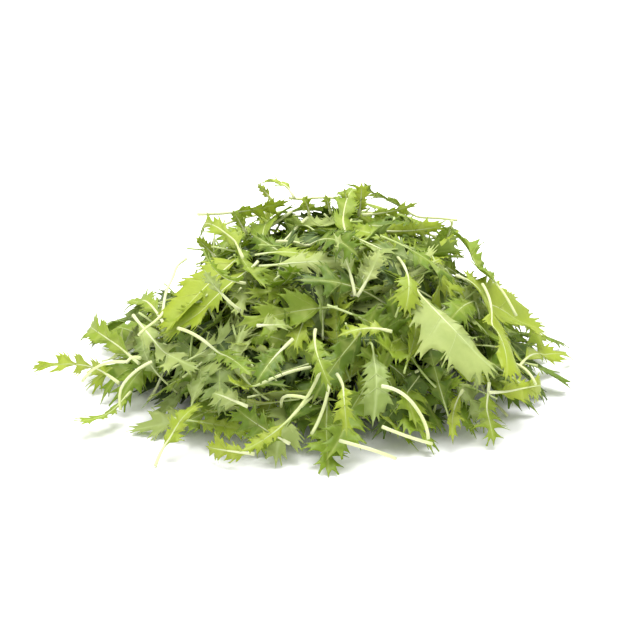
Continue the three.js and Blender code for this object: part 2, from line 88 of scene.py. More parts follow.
SPREAD = 0.8
BARE_REACH = 14
SEARCH_STEP = 0.0005


def seeded(seed):
    """Draws that are the same on every run, and the same as the frame's."""
    state = [seed]

    def draw(low=0, high=1):
        state[0] = (state[0] * FACTOR) % MODULUS
        return low + ((high - low) * state[0]) / MODULUS

    return draw


def heap_height(x, y, shares=WHOLE):
    """The height of the heap's outline above a point of the table, or that of a smaller one with shares of
    its width, height and roundness."""
    width, height, roundness = shares
    heights = []
    for part in (HILL, MOUND):
        across = np.abs((x - part.x) / (width * part.half_width)) ** SQUARENESS
        deep = np.abs(y / (width * part.half_depth)) ** SQUARENESS
        fall = (across + deep) ** (part.roundness * roundness / SQUARENESS)
        heights.append(part.height * height * (1 - fall))
    return np.maximum(*heights)


def start_ground(shares):
    """The highest point over each small square of the table, before any leaf is laid."""
    middles = (np.arange(CELLS) - CELLS / 2 + 0.5) * CELL
    x, y = np.meshgrid(middles, middles)
    return np.maximum(-LAYING_GAP, heap_height(x, y, shares))


def cell_of(x):
    """The row or column of the square at a place, kept off the ground's edge."""
    return np.clip(np.floor(np.asarray(x) / CELL).astype(int) + CELLS // 2, 1, CELLS - 2)


def top_under(ground, x, y):
    """The highest point that lies in the squares around a place."""
    column, row = cell_of(x), cell_of(y)
    around = [ground[row + j, column + i] for i in (-1, 0, 1) for j in (-1, 0, 1)]
    return np.max(around, axis=0)


def draw_leaf(draw, **given):
    """One leaf's own shape, before it is laid. What is given takes the place of what is drawn."""
    drawn = dict(
        stalk=draw(20, 48),
        blade=draw(42, 66),
        left=draw(9, 16),
        right=draw(9, 16),
        cut=draw(0.5, 0.8),
        fan=draw(0.1, 0.6),
        bend=draw(-0.8, 0.8),
        fold=draw(-0.3, 0.55),
        twist=draw(-0.7, 0.7),
        wave=draw(1.5, 5),
        phase=draw(0, 2 * math.pi),
        curl=draw(-14, 11),
        arch=draw(-4, 9),
        pitch=draw(-0.2, 0.2),
        roll=draw(-0.4, 0.4),
        lobes=3,
    )
    leaf = SimpleNamespace(**{"stands": False, **drawn, **given})
    if "start" in given and "depth" not in given:
        place_seen(leaf)
    return with_lobes(leaf, draw)


def with_lobes(leaf, draw):
    """Lobes in pairs along the rib, as wedges that widen outwards: each has a vein's foot on the rib, a near
    and a far corner, and the notch that follows it. A shoulder ends the last stretch before the tip."""
    leaf.length = leaf.stalk + leaf.blade
    leaf.veins = []
    leaf.edges = {"left": [], "right": []}
    if not leaf.lobes:
        return leaf
    first = leaf.stalk + FIRST_LOBE * leaf.blade
    pitch = (LOBED_SHARE * leaf.blade) / leaf.lobes
    leaf.veins = [first + pitch * k for k in range(leaf.lobes + 1)]
    for side in ("left", "right"):
        width = getattr(leaf, side)
        edge = [(first - 0.03 * leaf.blade, 1.2 + 0.1 * width)]
        for k, foot in enumerate(leaf.veins[:-1]):
            reach = width * (1 - leaf.fan * (1 - (k + 1) / leaf.lobes)) * draw(0.75, 1.15)
            notch_s = foot + pitch * draw(0.82, 0.94)
            notch_t = reach * (1 - leaf.cut) * draw(0.85, 1.1) + 0.6
            far_s = foot + pitch * draw(0.95, 1.35)
            far_t = reach * draw(0.8, 1.05)
            near_s = foot + pitch * draw(0.25, 0.6)
            near_t = reach * draw(0.75, 1)
            far_s = min(far_s, foot + (0.92 * far_t * (notch_s - foot)) / notch_t)
            near_s = min(near_s, foot + (0.8 * near_t * (far_s - foot)) / far_t)
            edge += [(near_s, near_t), (far_s, far_t), (notch_s, notch_t)]
        last = leaf.veins[-1]
        rest = leaf.length - last
        edge.append((last + rest * draw(0.4, 0.75), width * draw(0.4, 0.7)))
        leaf.edges[side] = edge
    return leaf


def in_plane(leaf, s, t):
    """A leaf's point, s along the rib and t across it, in its own plane: the rib is an arc."""
    turn = leaf.bend / leaf.length
    angle = turn * (s - leaf.length / 2)
    u = np.sin(angle) / turn - t * np.sin(angle)
    v = (1 - np.cos(angle)) / turn + t * np.cos(angle)
    return u, v


def relief(leaf, s, t):
    """How far a leaf's point stands off its plane of itself."""
    along = np.maximum(0, (s - leaf.stalk) / leaf.blade)
    across = t / np.where(t > 0, leaf.left, leaf.right)
    return (
        leaf.arch * np.sin(math.pi * s / leaf.length)
        + leaf.fold * np.abs(t)
        + leaf.twist * t * along
        + leaf.wave * across * across * np.sin(3 * math.pi * along + leaf.phase + across)
        + leaf.curl * along * along
    )


def lift(leaf, s, t):
    """How far what lies under a leaf lifts it there: a soft maximum of parabolas, one over each support."""
    if leaf.stands:
        return 0
    held = leaf.supports
    sag = BEND_ALONG * (s[:, None] - held[:, 0]) ** 2 + BEND_ACROSS * (t[:, None] - held[:, 1]) ** 2
    total = np.exp(CLOSENESS * (held[:, 2] - sag - leaf.highest)).sum(axis=1)
    return leaf.highest + np.log(total) / CLOSENESS


def in_heap(leaf, s, t, offset=0):
    """Points of a leaf in the heap, offset along the leaf's normal."""
    s, t = np.broadcast_arrays(np.asarray(s, float), np.asarray(t, float))
    u, v = in_plane(leaf, s, t)
    w = relief(leaf, s, t) + lift(leaf, s, t) + offset
    p = leaf.middle + np.outer(u, leaf.along) + np.outer(v, leaf.across) + np.outer(w, leaf.normal)
    p[:, 2] -= leaf.drop + leaf.root_drop * np.maximum(0, 1 - s / leaf.stalk) ** 2
    return p


def stalk_stations(leaf):
    return np.linspace(0, 1, 4 if leaf.lobes else 7) * leaf.stalk


def key_points(leaf):
    points = [(s, 0) for s in stalk_stations(leaf)]
    points += [(s, 0) for s in leaf.veins]
    points += list(leaf.edges["left"])
    points += [(s, -t) for s, t in leaf.edges["right"]]
    if leaf.lobes:
        points.append((leaf.length, 0))
    return np.array(points, float)


def face_triangles(leaf):
    """One face of the plain leaf of the frame as triangles of (s, t) corners."""
    stations = stalk_stations(leaf)
    w = STALK_HALF_WIDTH
    triangles = []
    for a, b in zip(stations, stations[1:]):
        triangles += [[(a, -w), (b, -w), (b, w)], [(a, -w), (b, w), (a, w)]]
    if leaf.lobes:
        feet = [(s, 0) for s in leaf.veins]
        triangles.append([(leaf.stalk, -w), feet[0], (leaf.stalk, w)])
        for side, sign in (("left", 1), ("right", -1)):
            rim = [(s, sign * t) for s, t in leaf.edges[side]]
            edge = [(leaf.stalk, sign * w), *rim, (leaf.length, 0)]
            triangles.append([feet[0], edge[1], edge[0]])
            for k in range(leaf.lobes):
                for corner in (1, 2, 3):
                    triangles.append([feet[k], edge[3 * k + corner + 1], edge[3 * k + corner]])
                triangles.append([feet[k], feet[k + 1], edge[3 * k + 4]])
            triangles.append([feet[-1], edge[-2], edge[-3]])
            triangles.append([feet[-1], edge[-1], edge[-2]])
    return np.array(triangles, float)


def half_thickness(leaf, s, t):
    along = np.clip((s - leaf.stalk) / leaf.blade, 0, 1)
    rib = STALK_HALF_THICKNESS + (RIM_HALF_THICKNESS - STALK_HALF_THICKNESS) * along
    on_blade = np.where((t != 0) | (s >= leaf.length), RIM_HALF_THICKNESS, rib)
    return np.where(s <= leaf.stalk + 1e-6, STALK_HALF_THICKNESS, on_blade)


def sampled(corners):
    """Even samples over triangles of points."""
    found = []
    for a, b, c in corners:
        longest = max(np.linalg.norm(a - b), np.linalg.norm(b - c), np.linalg.norm(c - a))
        n = math.ceil(longest / SAMPLE_STEP)
        i, j = np.meshgrid(np.arange(n + 1), np.arange(n + 1))
        i, j = i[i + j <= n], j[i + j <= n]
        found.append(np.outer((n - i - j) / n, a) + np.outer(i / n, b) + np.outer(j / n, c))
    return np.concatenate(found)


def unit(v):
    return v / np.linalg.norm(v)


def set_plane(leaf, middle, along, across):
    leaf.middle = middle
    leaf.along = unit(along)
    leaf.normal = unit(np.cross(leaf.along, across))
    leaf.across = np.cross(leaf.normal, leaf.along)


def plane_over(ground, leaf, x, y, heading):
    """The plane of a leaf whose middle is over (x, y), as what lies there slopes."""
    hx, hy = math.cos(heading), math.sin(heading)
    u, v = np.meshgrid(np.array([-0.42, -0.21, 0, 0.21, 0.42]) * leaf.length, [-20, 0, 20], indexing="ij")
    z = top_under(ground, x + u * hx - v * hy, y + u * hy + v * hx)
    along_slope = np.clip((u * z).sum() / (u * u).sum() + leaf.pitch, -STEEPEST, STEEPEST)
    across_slope = np.clip((v * z).sum() / (v * v).sum() + leaf.roll, -STEEPEST, STEEPEST)
    middle = np.array([x, y, z.mean()])
    set_plane(leaf, middle, np.array([hx, hy, along_slope]), np.array([-hy, hx, across_slope]))


def lay(ground, leaf, rooted=False):
    """Lays a leaf that has its plane on all that lies there already. If it is rooted, its stalk dips into the
    core."""
    leaf.drop = 0
    leaf.root_drop = 0
    keys = key_points(leaf)
    u, v = in_plane(leaf, keys[:, 0], keys[:, 1])
    p = leaf.middle + np.outer(u, leaf.along) + np.outer(v, leaf.across)
    heights = (top_under(ground, p[:, 0], p[:, 1]) - p[:, 2]) * leaf.normal[2]
    heights -= relief(leaf, keys[:, 0], keys[:, 1])
    leaf.supports = np.column_stack([keys, heights])
    leaf.highest = heights.max()
    faces = face_triangles(leaf).reshape(-1, 2)
    half = half_thickness(leaf, faces[:, 0], faces[:, 1])
    under = sampled(in_heap(leaf, faces[:, 0], faces[:, 1], -half).reshape(-1, 3, 3))
    leaf.drop = (under[:, 2] - top_under(ground, under[:, 0], under[:, 1]) - LAYING_GAP).min()
    if rooted:
        root = in_heap(leaf, [0], [0])[0]
        leaf.root_drop = root[2] - max(ROOT_DEPTH / 4, heap_height(root[0], root[1], CORE) - ROOT_DEPTH)
    over = sampled(in_heap(leaf, faces[:, 0], faces[:, 1], half).reshape(-1, 3, 3))
    np.maximum.at(ground, (cell_of(over[:, 1]), cell_of(over[:, 0])), over[:, 2])
    leaf.samples = over
    return leaf


def bareness(ground, x, y):
    """How much of the core or the table is still bare around a point, as a share."""
    i, j = np.meshgrid([-BARE_REACH, 0, BARE_REACH], [-BARE_REACH, 0, BARE_REACH])
    cells = (cell_of(y + j), cell_of(x + i))
    return (ground[cells] < BARE[cells] + 0.5).mean()


def on_mound(angle, radius):
    """The point at a share of the mound's width and depth from the middle."""
    return MOUND.half_width * radius * math.cos(angle), MOUND.half_depth * radius * math.sin(angle)


def draw_spot(draw, spread):
    """A point drawn evenly over a share of the mound, and its angle."""
    angle = draw(0, 2 * math.pi)
    return *on_mound(angle, math.sqrt(draw()) * spread), angle


def foot_spot(draw, k):
    """A spot near the core's foot, at an even step from the one before, for a leaf that points outwards."""
    angle = 2 * math.pi * (k + draw(-0.4, 0.4)) / FOOT_LEAVES
    x, y = on_mound(angle, draw(0.7, 0.84))
    return x, y, angle + draw(-0.7, 0.7)


def choose_spot(ground, draw, leaf, rooted):
    """The spot, out of a few drawn, where the heap is most bare and furthest below its outline."""
    best = None
    tries = 0
    while tries < TRIES:
        x, y, angle = draw_spot(draw, SPREAD)
        heading = angle + (draw(-1.9, 1.9) if rooted else draw(-math.pi, math.pi))
        back = 0.45 * leaf.length
        root = heap_height(x - back * math.cos(heading), y - back * math.sin(heading), CORE)
        if rooted and root < ROOT_DEPTH + 2:
            continue
        tries += 1
        meant = heap_height(x, y)
        ahead = 0.22 * leaf.length
        open_share = bareness(ground, x + ahead * math.cos(heading), y + ahead * math.sin(heading))
        need = open_share + (meant - top_under(ground, x, y)) / (meant + 60)
        if best is None or need > best[0]:
            best = (need, x, y, heading)
    return best[1:]


# The heap is measured in one view of its front. A place in the view is [across, up] in millimetres from the
# point that the eye looks at.
EYE = np.array([0, -1120, 471.0])
CENTRE = np.array([0, 0, 41.0])
VIEW_UP = unit(np.array([0, EYE[2] - CENTRE[2], -EYE[1]]))


def seen_at(place):
    """The point of the heap or of the table that is seen at a place in the view. It is searched on the
    heap's outline first, and then near there on what has been laid so far."""
    ray = CENTRE + VIEW_UP * place[1] - EYE
    ray[0] += place[0]

    def search(start, end, height):
        gap, p, far = math.inf, None, start
        best_far = start
        while far < end and gap > 0:
            here = EYE + ray * far
            this = here[2] - max(0, height(here[0], here[1]))
            if this < gap:
                gap, p, best_far = this, here, far
            far += SEARCH_STEP
        return gap, p, best_far

    _, meant, far = search(0.75, 1.02, heap_height)
    gap, on_leaves, _ = search(far - 0.025, far + 0.025, lambda x, y: top_under(ground, x, y))
    return meant if gap > 0 else on_leaves


def place_seen(leaf):
    """Gives a leaf whose stalk's cut end and tip are seen at two places the length and plane for that."""
    root, tip = seen_at(leaf.start), seen_at(leaf.end)
    middle = (root + tip) / 2
    x, y = middle[:2]
    step = 6
    outward = np.array([
        heap_height(x - step, y) - heap_height(x + step, y),
        heap_height(x, y - step) - heap_height(x, y + step),
        2 * step,
    ])
    along = tip - root
    length = np.linalg.norm(along) * (leaf.bend / 2) / math.sin(leaf.bend / 2)
    across = unit(np.cross(outward, along))
    across[2] += leaf.roll
    set_plane(leaf, middle, along, across)
    leaf.middle = middle - leaf.across * (length / leaf.bend) * (1 - math.cos(leaf.bend / 2))
    if leaf.lobes:
        leaf.blade = length - leaf.stalk
    else:
        leaf.stalk = length - NO_BLADE
        leaf.blade = NO_BLADE


# The leaves that are seen best from the front, from the table upwards, as in the frame: start is the stalk's
# cut end, end the tip. A leaf's shape is drawn from its row's number, or from own if it has that.
SEEN = [
    dict(
        name="leaf_far_left", tint="bright", start=(-140, -46), end=(-203, -36),
        stalk=12, left=7, right=8, curl=0, arch=0, twist=0,
    ),
    dict(
        name="leaf_small_right", tint="bright", start=(139, -36), end=(178, -30),
        stalk=12, left=9, right=9, lobes=2,
    ),
    dict(
        name="leaf_left_foot", tint="green", start=(-130, -62), end=(-167, -84),
        stalk=8, left=15, right=13,
    ),
    dict(
        name="leaf_left_front", tint="bright", start=(-116, -104), end=(-82, -64),
        stalk=14, left=12, right=9,
    ),
    dict(
        name="leaf_curled_foot", tint="bright", start=(-42, -93), end=(-72, -89),
        stalk=4, left=9, right=9, lobes=2,
    ),
    dict(
        name="leaf_dark_front", tint="deep", start=(-20, -90), end=(-60, -64),
        stalk=5, left=15, right=13, twist=0.1,
    ),
    dict(name="stalk_foot_middle", tint="stalk", start=(13, -86), end=(48, -98)),
    dict(name="stalk_foot_right", tint="stalk", start=(42, -82), end=(78, -94)),
    dict(
        name="leaf_right_foot", tint="green", start=(117, -50), end=(122, -92),
        stalk=8, left=15, right=16,
    ),
    dict(
        name="leaf_right_low", tint="bright", start=(116, -54), end=(148, -52),
        stalk=6, left=8, right=8, lobes=2,
    ),
    dict(name="stalk_right_low", tint="stalk", start=(134, -37), end=(150, -51)),
    dict(
        name="leaf_narrow_right", tint="bright", start=(97, -56), end=(90, -93),
        stalk=6, left=6, right=6, lobes=2,
    ),
    dict(
        name="leaf_hanging_front", tint="bright", start=(12, -40), end=(19, -84),
        stalk=18, left=9, right=9,
    ),
    dict(
        name="leaf_front_foot", tint="bright", start=(0, -39), end=(-57, -98),
        stalk=46, left=8, right=7, bend=-0.8,
    ),
    dict(name="stalk_front", tint="stalk", start=(7, -50), end=(-6, -82)),
    dict(name="stalk_front_short", tint="stalk", start=(-27, -65), end=(-8, -60)),
    dict(
        name="leaf_pale_front", tint="pale", start=(-49, -64), end=(-75, -54),
        stalk=4, left=9, right=8, lobes=2,
    ),
    dict(
        name="leaf_cut_stalk", tint="bright", start=(-12, -48), end=(-69, -55),
        stalk=44, left=6, right=6, lobes=2,
    ),
    dict(
        name="leaf_left_tip", tint="green", start=(-126, -38), end=(-164, -10),
        stalk=12, left=11, right=10,
    ),
    dict(
        name="leaf_left_shoulder", tint="green", start=(-104, -14), end=(-138, 16),
        stalk=10, left=11, right=12,
    ),
    dict(
        name="leaf_left_pale", tint="pale", start=(-123, -18), end=(-84, -37),
        stalk=12, left=12, right=12,
    ),
    dict(name="stalk_left_low", tint="stalk", start=(-116, -38), end=(-136, -72)),
    dict(name="stalk_left_out", tint="stalk", start=(-126, -30), end=(-161, -50)),
    dict(
        name="leaf_left_bright", tint="bright", start=(-50, 46), end=(-110, -15),
        stalk=7, left=13, right=12, cut=0.35,
    ),
    dict(name="stalk_left_high", tint="stalk", start=(-97, 32), end=(-125, -28)),
    dict(
        name="leaf_middle_left", tint="green", start=(-99, -13), end=(-47, -48),
        stalk=34, left=12, right=12,
    ),
    dict(
        name="leaf_dull_left", tint="pale", start=(-54, -20), end=(-80, 6),
        stalk=20, left=9, right=9, lobes=2,
    ),
    dict(
        name="leaf_comb", tint="bright", start=(-4, -3), end=(-16, -29),
        stalk=5, left=10, right=10, lobes=2, fan=0.2,
    ),
    dict(name="leaf_middle", tint="green", start=(-46, -5), end=(-66, 27), stalk=6, left=14, right=14),
    dict(
        name="leaf_round_pale", tint="pale", start=(-52, 10), end=(-26, 13),
        stalk=3, left=8, right=8, lobes=2, cut=0.1,
    ),
    dict(
        name="leaf_middle_low", tint="deep", start=(-20, -20), end=(-46, -52),
        stalk=10, left=14, right=12,
    ),
    dict(name="leaf_middle_right", tint="green", start=(-2, -14), end=(9, -52), stalk=10, left=9, right=9),
    dict(name="leaf_yellow", tint="bright", start=(50, -16), end=(12, -20), stalk=5, left=8, right=9),
    dict(name="stalk_bent", tint="stalk", start=(42, -55), end=(75, -92), bend=-1.5),
    dict(
        name="leaf_behind_kink", tint="pale", start=(73, -17), end=(107, -46),
        stalk=10, left=9, right=8, bend=-0.9,
    ),
    dict(
        name="leaf_big_pale", tint="pale", start=(60, 12), end=(114, -56),
        stalk=8, left=5, right=32, cut=0.25, bend=0.5, closed=0.95,
    ),
    dict(
        name="leaf_right_corner", tint="bright", start=(96, 22), end=(158, -18),
        stalk=8, left=24, right=22, cut=0.4, closed=1.1,
    ),
    dict(
        name="leaf_right_bright", tint="bright", start=(111, 20), end=(124, -50),
        stalk=22, left=17, right=9, cut=0.35, closed=1,
    ),
    dict(
        name="leaf_upright_stalk", tint="bright", start=(59, 56), end=(59, 2),
        stalk=36, left=12, right=12, lobes=2,
    ),
    dict(
        name="leaf_folded_pale", tint="pale", start=(22, 16), end=(41, 49),
        stalk=6, left=8, right=8, fold=0.6,
    ),
    dict(name="stalk_middle", tint="stalk", start=(3, 53), end=(-11, 37)),
    dict(name="stalk_top_left", tint="stalk", start=(-50, 88), end=(-84, 76), own=43),
    dict(
        name="leaf_top_long", tint="green", start=(-22, 79), end=(91, 66),
        stalk=50, left=12, right=12, bend=-0.3, own=46,
    ),
    dict(
        name="leaf_top_curl", tint="bright", start=(-20, 80), end=(-41, 100),
        stalk=8, left=6, right=6, lobes=2, own=42,
    ),
    dict(
        name="leaf_curled_left", tint="bright", start=(-58, 42), end=(-91, 60),
        stalk=10, left=8, right=8, own=44,
    ),
    dict(
        name="leaf_top_upright", tint="green", start=(22, 62), end=(30, 98),
        stalk=6, left=10, right=10, own=45,
    ),
]


# Fine leaves

FINEST_TEETH = 3.2
COARSEST_TEETH = 6.4
GRID = 4.5
BLADE_HALF_THICKNESS = 0.16
ABOVE_TABLE = 0.2
# A stalk is green from about a third of its leaf's length on. A bare one stays pale to its end.
PALE_LENGTH = 2.4


def curve(start, end, outward, bulge):
    """Points between start and end on a shallow arc that bulges to its outside."""
    way = end - start
    normal = np.array([-way[1], way[0]]) * outward
    return [start + way * q + normal * bulge * 4 * q * (1 - q) for q in (0.25, 0.5, 0.75)]


def toothed(start, end, foot, outward, spacing, draw):
    """Points between start and end, which are tooth tips: more teeth, unevenly spaced, and the clefts
    between."""
    way = end - start
    normal = np.array([-way[1], way[0]]) * outward
    spaces = max(1, round(np.linalg.norm(way) / (spacing * draw(0.85, 1.2))))
    shares = [0] + [(k + draw(-0.28, 0.28)) / spaces for k in range(1, spaces)] + [1]
    depth = spacing * draw(1.0, 1.5)
    blunt = 0.55 * unit(way)

    def rim(share):
        return start + way * share + normal * 0.56 * share * (1 - share)

    points = []
    tip = start
    for k, (here, after) in enumerate(zip(shares, shares[1:])):
        on = rim(here + (after - here) * draw(0.35, 0.65))
        inward = foot - on
        room = np.linalg.norm(inward)
        deep = depth * (after - here) * spaces * draw(0.75, 1.15)
        cleft = on + inward / room * min(deep, 0.45 * room)
        next_tip = end if k == spaces - 1 else rim(after)
        if k < spaces - 1:
            next_tip = next_tip - unit(foot - next_tip) * draw(-0.4, 1.4)
        narrow = 0.03 * (next_tip - tip)
        points += [(tip + cleft) / 2 - narrow, cleft, (cleft + next_tip) / 2 + narrow]
        if k < spaces - 1:
            points += [next_tip - blunt, next_tip + blunt]
        tip = next_tip
    return points


def fine_outline(leaf, draw):
    """The leaf's outline with its teeth, as (s, t) points, anticlockwise."""
    sides = {}
    closed = draw(0.35, 1.0)
    closed = getattr(leaf, "closed", closed)
    spacing = draw(FINEST_TEETH, COARSEST_TEETH)
    hollow = -0.04 - 0.22 * (1 - closed)
    for side, sign in (("left", 1), ("right", -1)):
        width = STALK_HALF_WIDTH * 0.6
        edge = [np.array([s, sign * t]) for s, t in leaf.edges[side]]
        root = np.array([leaf.stalk * 0.8, sign * width])
        points = [root] + curve(root, edge[0], sign, -0.06) + [edge[0]]
        here = edge[0]
        for k, foot_s in enumerate(leaf.veins[:-1]):
            foot = np.array([foot_s, 0])
            near, far, notch = edge[3 * k + 1 : 3 * k + 4]
            notch = notch * [1, closed]
            points += curve(here, near, sign, 0.05 if k == 0 else hollow) + [near]
            points += toothed(near, far, foot, sign, spacing, draw) + [far]
            points += curve(far, notch, sign, hollow) + [notch]
            here = notch
        foot = np.array([leaf.veins[-1], 0])
        tip = np.array([leaf.length, 0])
        points += curve(here, edge[-1], sign, hollow / 2) + [edge[-1]]
        points += toothed(edge[-1], tip, foot, sign, spacing, draw)
        sides[side] = points
    return sides["right"] + [np.array([leaf.length + 1.0, 0])] + sides["left"][::-1]


def inside(points, outline):
    """Which points are inside a closed outline."""
    a, b = outline, np.roll(outline, -1, axis=0)
    x, y = points[:, :1], points[:, 1:]
    crossing = (a[:, 1] > y) != (b[:, 1] > y)
    with np.errstate(divide="ignore", invalid="ignore"):
        at = (b[:, 0] - a[:, 0]) * (y - a[:, 1]) / (b[:, 1] - a[:, 1]) + a[:, 0]
    return (crossing & (x < at)).sum(axis=1) % 2 == 1


def blade_triangles(leaf, draw):
    """The blade's face as (s, t) points and triangles: the outline, the rib and even points between."""
    outline = np.array(fine_outline(leaf, draw))
    rib = np.array([(s, 0) for s in np.arange(leaf.stalk + 1, leaf.length - 1, 4.0)])
    s = np.arange(leaf.stalk, leaf.length, GRID)
    t = np.arange(-leaf.right * 1.3, leaf.left * 1.3, GRID)
    grid = np.stack(np.meshgrid(s, t), axis=-1).reshape(-1, 2)
    grid[:, 0] += np.where(np.round(grid[:, 1] / GRID).astype(int) % 2 == 0, GRID / 2, 0)
    grid = grid[np.abs(grid[:, 1]) > 1.6]
    grid = grid[inside(grid, outline)]
    apart = np.linalg.norm(grid[:, None] - outline[None], axis=2).min(axis=1)
    grid = grid[apart > 1.5]
    points = np.concatenate([outline, rib, grid])
    count = len(outline)
    edges = [(k, (k + 1) % count) for k in range(count)]
    edges += [(count + k, count + k + 1) for k in range(len(rib) - 1)]
    made = delaunay_2d_cdt([Vector(p) for p in points], edges, [], 1, 1e-4)
    corners = np.array([tuple(p) for p in made[0]])
    triangles = np.array([face for face in made[2] if len(face) == 3])
    a, b, c = (corners[triangles[:, k]] for k in range(3))
    area = (b - a)[:, 0] * (c - a)[:, 1] - (b - a)[:, 1] * (c - a)[:, 0]
    triangles[area < 0] = triangles[area < 0][:, ::-1]
    return corners, triangles


class Mesh:
    """Points and faces gathered for one piece, with what the materials read from them."""

    def __init__(self):
        self.points, self.faces, self.slots = [], [], []
        self.values = {"rib": [], "along": [], "tint": []}
        self.count = 0

    def add(self, points, faces, slot, **values):
        self.faces += [tuple(i + self.count for i in face) for face in faces]
        self.slots += [slot] * len(faces) if isinstance(slot, int) else list(slot)
        self.points.append(points)
        for name, held in self.values.items():
            held.append(np.broadcast_to(values.get(name, 0), len(points)))
        self.count += len(points)

    def build(self, name, materials):
        mesh = bpy.data.meshes.new(name)
        mesh.from_pydata((np.concatenate(self.points) * MM).tolist(), [], self.faces)
        for material in materials:
            mesh.materials.append(material)
        mesh.polygons.foreach_set("material_index", self.slots)
        mesh.shade_smooth()
        for key, held in self.values.items():
            layer = mesh.attributes.new(key, "FLOAT", "POINT")
            layer.data.foreach_set("value", np.concatenate(held).astype(np.float32))
        mesh.validate()
        piece = bpy.data.objects.new(name, mesh)
        bpy.context.collection.objects.link(piece)
        return piece


def add_blade(mesh, leaf, draw, tint, pale_up):
    """Both faces of a blade and the rim between them."""
    corners, triangles = blade_triangles(leaf, draw)
    s, t = corners.T
    half = BLADE_HALF_THICKNESS
    upper = in_heap(leaf, s, t, half)
    lower = in_heap(leaf, s, t, -half)
    count = len(corners)
    sides = dict.fromkeys((p, q) for a, b, c in triangles for p, q in ((a, b), (b, c), (c, a)))
    rim = [(p, q) for p, q in sides if (q, p) not in sides]
    faces = [tuple(f) for f in triangles]
    faces += [tuple(i + count for i in f[::-1]) for f in triangles]
    faces += [(p, p + count, q + count, q) for p, q in rim]
    top, under = (1, 0) if pale_up else (0, 1)
    slots = [top] * len(triangles) + [under] * len(triangles) + [top] * len(rim)
    veins = vein_distance(leaf, s, t)
    along = np.clip((s - leaf.stalk) / leaf.blade, 0, 1)
    points = np.concatenate([upper, lower])
    mesh.add(points, faces, slots, rib=np.tile(veins, 2), along=np.tile(along, 2), tint=tint)


def vein_ends(leaf, side):
    """Where a side's veins end: in the middle of each lobe's outer edge."""
    edge = np.array(leaf.edges[side])
    return [(edge[3 * k + 1] + edge[3 * k + 2]) / 2 for k in range(leaf.lobes)]


def vein_distance(leaf, s, t):
    """The distance from the nearest side vein or the rib, in millimetres."""
    best = np.abs(t)
    for side, sign in (("left", 1), ("right", -1)):
        for foot, point in zip(leaf.veins, vein_ends(leaf, side)):
            a = np.array([foot, 0])
            b = np.array([point[0], sign * point[1]])
            way = b - a
            share = np.clip(((s - a[0]) * way[0] + (t - a[1]) * way[1]) / (way @ way), 0, 1)
            best = np.minimum(best, np.hypot(s - a[0] - share * way[0], t - a[1] - share * way[1]))
    return best


def add_tube(mesh, leaf, route, radii, sides, tint, slot, flat=1.0):
    """A closed round tube along a route of (s, t) points on the leaf, with its own radius at each."""
    route = np.array(route, float)
    middle = in_heap(leaf, route[:, 0], route[:, 1])
    way = np.gradient(middle, axis=0)
    way /= np.linalg.norm(way, axis=1)[:, None]
    side = np.cross(leaf.normal, way)
    side /= np.linalg.norm(side, axis=1)[:, None]
    up = np.cross(way, side)
    turn = np.arange(sides) * 2 * math.pi / sides + math.pi / sides
    radii = radii[:, None, None]
    rings = (
        middle[:, None]
        + side[:, None] * (np.cos(turn)[None, :, None] * radii)
        + up[:, None] * (np.sin(turn)[None, :, None] * radii * flat)
    )
    n = len(route)
    faces = []
    for k in range(n - 1):
        for j in range(sides):
            a, b = k * sides + j, k * sides + (j + 1) % sides
            faces.append((a, a + sides, b + sides, b))
    faces.append(tuple(range(sides)))
    faces.append(tuple((n - 1) * sides + j for j in range(sides))[::-1])
    whole = leaf.length if leaf.lobes else PALE_LENGTH * leaf.stalk
    mesh.add(rings.reshape(-1, 3), faces, slot, along=np.repeat(route[:, 0] / whole, sides), tint=tint)


def add_stalk(mesh, leaf, tint, slot, thick):
    reach = leaf.stalk + leaf.blade * 0.93 if leaf.lobes else leaf.stalk
    s = np.linspace(0, reach, max(6, int(reach / 3.5)))
    past = np.clip((s - leaf.stalk * 0.75) / (reach - leaf.stalk * 0.75), 0, 1)
    radii = thick * (1.12 + 0.12 * np.clip(1 - s / 8, 0, 1))
    if leaf.lobes:
        radii *= 1 - 0.88 * past**0.6
    add_tube(mesh, leaf, [(a, 0) for a in s], radii, 8, tint, slot, flat=0.85)


def add_veins(mesh, leaf, tint, slot):
    for side, sign in (("left", 1), ("right", -1)):
        for foot, point in zip(leaf.veins, vein_ends(leaf, side)):
            share = np.linspace(0, 0.94, 6)
            s = foot - 2 * (1 - share) ** 2 + (point[0] - foot) * share
            t = sign * point[1] * share
            add_tube(mesh, leaf, np.column_stack([s, t]), 0.42 * (1 - 0.75 * share), 4, tint, slot)


def add_leaf(mesh, leaf, draw, tint, pale_up=False, veins=True, stalk_green=0.2, thick=1.0):
    """One fine leaf, raised as a whole if it would go through the table."""
    first = len(mesh.points)
    if leaf.lobes:
        add_blade(mesh, leaf, draw, tint, pale_up)
        if veins:
            add_veins(mesh, leaf, tint, 1 if pale_up else 0)
    add_stalk(mesh, leaf, stalk_green, 2, thick)
    added = mesh.points[first:]
    rise = ABOVE_TABLE - min(points[:, 2].min() for points in added)
    if rise > 0:
        for points in added:
            points[:, 2] += rise


# Materials


def linear(c):
    """An 8-bit sRGB value as the linear one that shaders use."""
    return c / 255 / 12.92 if c <= 10 else ((c / 255 + 0.055) / 1.055) ** 2.4


def colour(red, green, blue):
    return linear(red), linear(green), linear(blue), 1


